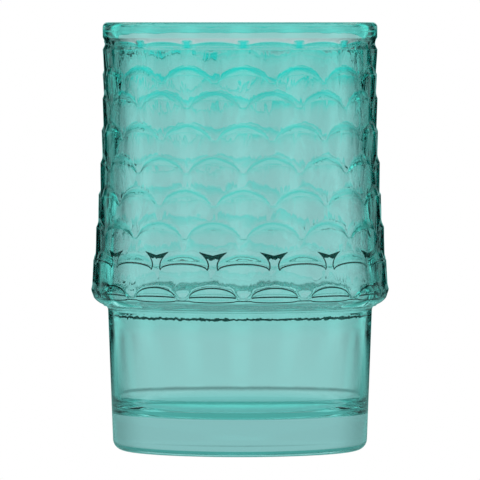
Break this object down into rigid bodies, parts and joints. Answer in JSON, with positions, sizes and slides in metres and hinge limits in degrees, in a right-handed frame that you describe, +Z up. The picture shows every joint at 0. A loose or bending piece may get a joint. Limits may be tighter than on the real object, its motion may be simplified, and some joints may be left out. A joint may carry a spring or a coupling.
{
  "type": "glass tumbler",
  "caption": "Flared drinking glass with a raised fish-scale pattern above a rounded shoulder and a plain, narrower foot with a thick solid base.",
  "frame": {"origin": "centre of the underside, on the surface the glass stands on", "axes": "+Z up along the glass's axis towards the open mouth; the view the picture shows looks along +Y"},
  "size_m": [0.0799, 0.0798, 0.114],
  "materials": {
    "teal_glass": "clear teal tint, smooth and glossy"
  },
  "bodies": {
    "root": {"glass_tumbler": "teal_glass"}
  },
  "joints": []
}
